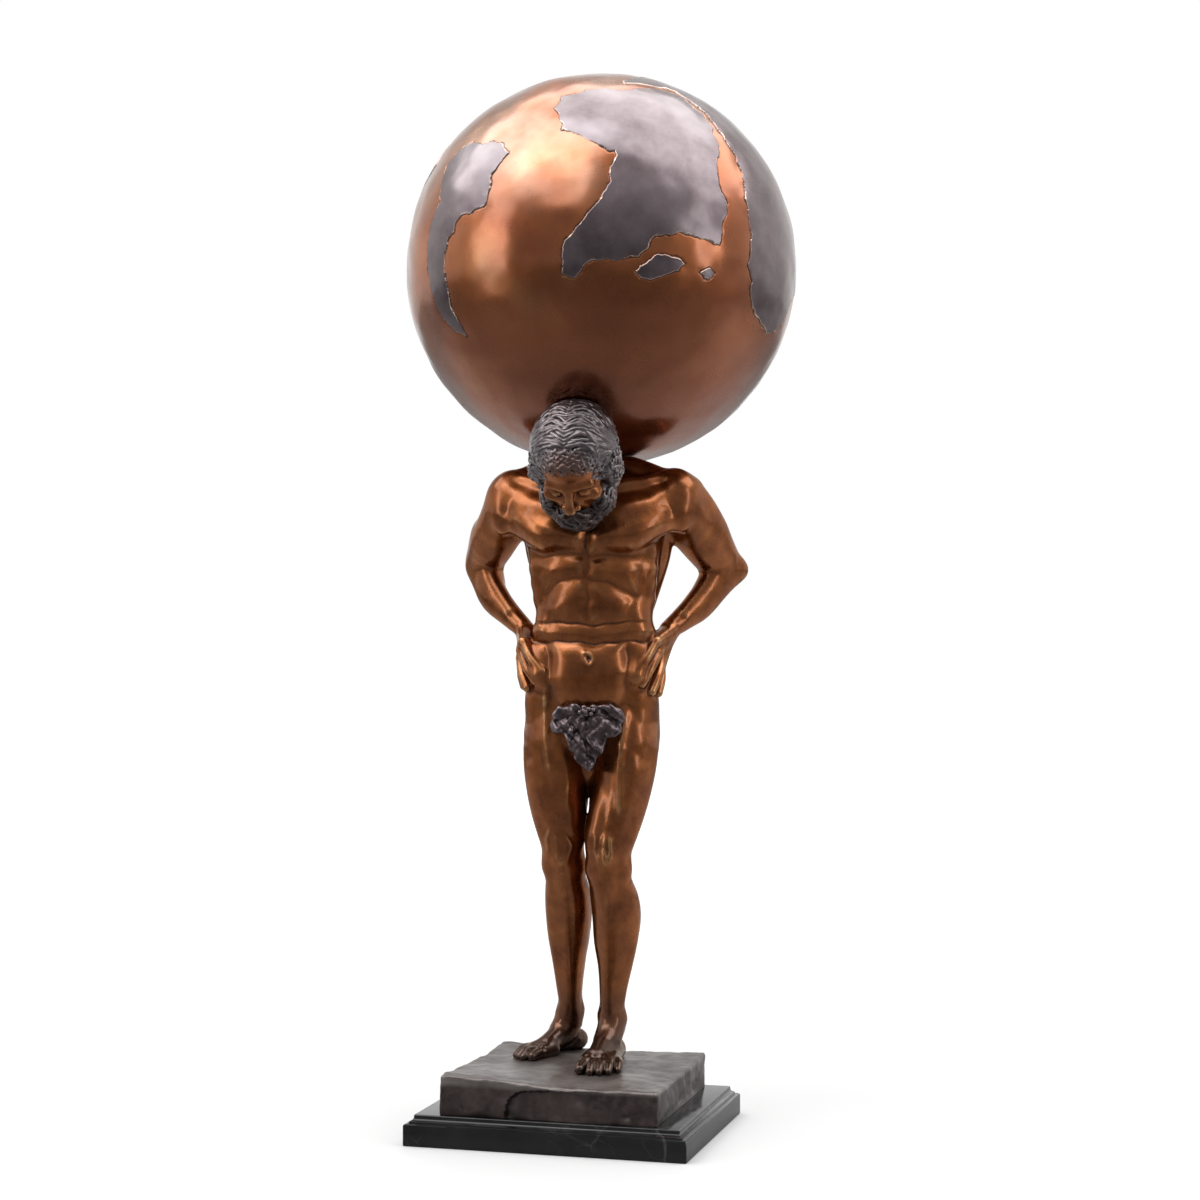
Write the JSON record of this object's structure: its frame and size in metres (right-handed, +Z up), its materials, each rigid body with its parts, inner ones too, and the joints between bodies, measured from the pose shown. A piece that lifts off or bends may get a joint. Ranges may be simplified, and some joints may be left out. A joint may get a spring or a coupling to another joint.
{
  "type": "atlas statue",
  "caption": "Bronze figure of a bowed bearded man with his hands on his hips, bearing a terrestrial globe, on a stepped black marble base.",
  "frame": {"origin": "middle of the marble base's underside", "axes": "+Z up, -Y the way the statue's base faces, +X to the right of someone facing it"},
  "size_m": [0.3554, 0.3555, 0.9445],
  "materials": {
    "bronze_figure": "reddish brown patinated bronze, semi-gloss",
    "bronze_globe": "copper brown patinated bronze, glossy, with dark continents",
    "black_marble": "polished black marble with faint white veins"
  },
  "bodies": {
    "root": {"atlas_figure": "bronze_figure", "globe": "bronze_globe", "marble_base": "black_marble"}
  },
  "joints": []
}
